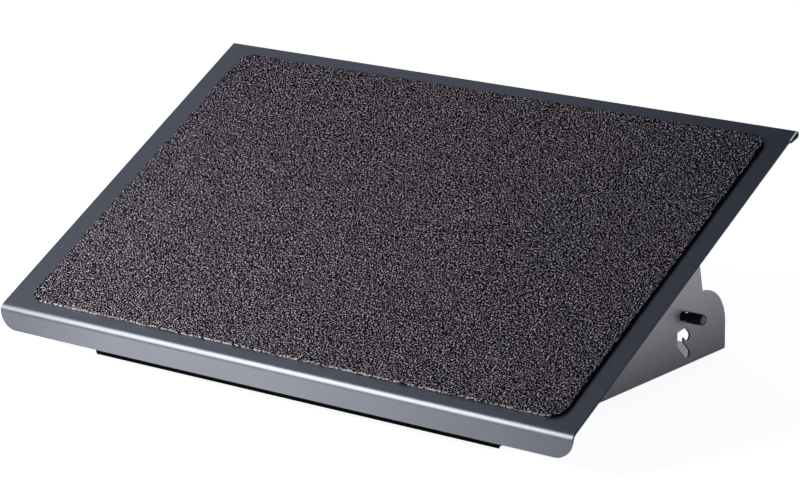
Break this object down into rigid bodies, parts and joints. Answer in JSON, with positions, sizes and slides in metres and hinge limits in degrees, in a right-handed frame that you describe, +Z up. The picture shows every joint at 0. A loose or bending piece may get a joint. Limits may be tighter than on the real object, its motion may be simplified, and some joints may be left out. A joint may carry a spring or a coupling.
{
  "type": "tilting footrest",
  "caption": "Tilting under desk footrest: sheet steel platform with a glued grip mat, hinged on a low base whose pocketed side walls hold a sliding cross rod that locks the tilt.",
  "frame": {"origin": "on the floor, under the middle of the whole footrest's bounding box, with the platform locked at its steepest setting", "axes": "+X to the sitter's right as seen from the lip side, +Y from the lip to the raised rear edge, +Z up"},
  "size_m": [0.5, 0.288, 0.1738],
  "materials": {
    "platform_coat": "semi-gloss metallic blue-grey powder coat",
    "side_coat": "semi-gloss metallic grey powder coat",
    "grip_mat": "matt crinkle-textured rubber sheet",
    "black_rubber": "matt black rubber",
    "zinc_hardware": "bright zinc plating",
    "nylon_spacer": "natural nylon",
    "blackened_rod": "dark drawn steel",
    "rod_sleeve": "black moulded sleeve"
  },
  "bodies": {
    "base": {"base_panel": "side_coat", "left_base_wall": "side_coat", "right_base_wall": "side_coat", "front_edge_strip": "black_rubber", "front_left_foot": "black_rubber", "front_right_foot": "black_rubber", "rear_left_foot": "black_rubber", "rear_right_foot": "black_rubber", "left_pivot_bolt": "zinc_hardware", "right_pivot_bolt": "zinc_hardware", "left_pivot_spacer": "nylon_spacer", "right_pivot_spacer": "nylon_spacer", "left_pivot_washer": "zinc_hardware", "right_pivot_washer": "zinc_hardware", "left_pivot_nut": "zinc_hardware", "right_pivot_nut": "zinc_hardware"},
    "platform": {"platform_sheet": "platform_coat", "grip_mat": "grip_mat", "cross_stiffener": "platform_coat", "left_bracket": "side_coat", "right_bracket": "side_coat"},
    "rod": {"locking_rod": "blackened_rod", "rod_grip": "rod_sleeve", "left_rod_sleeve": "rod_sleeve", "right_rod_sleeve": "rod_sleeve"}
  },
  "joints": [
    {"name": "platform_tilt", "type": "hinge", "parent": "base", "child": "platform", "pos_m": [0, -0.11095, 0.013], "axis": [1, 0, 0], "range_deg": [0, 18]},
    {"name": "rod_pull", "type": "slide", "parent": "platform", "child": "rod", "axis": [0, -0.9397, 0.342], "range_m": [0, 0.0099]}
  ]
}
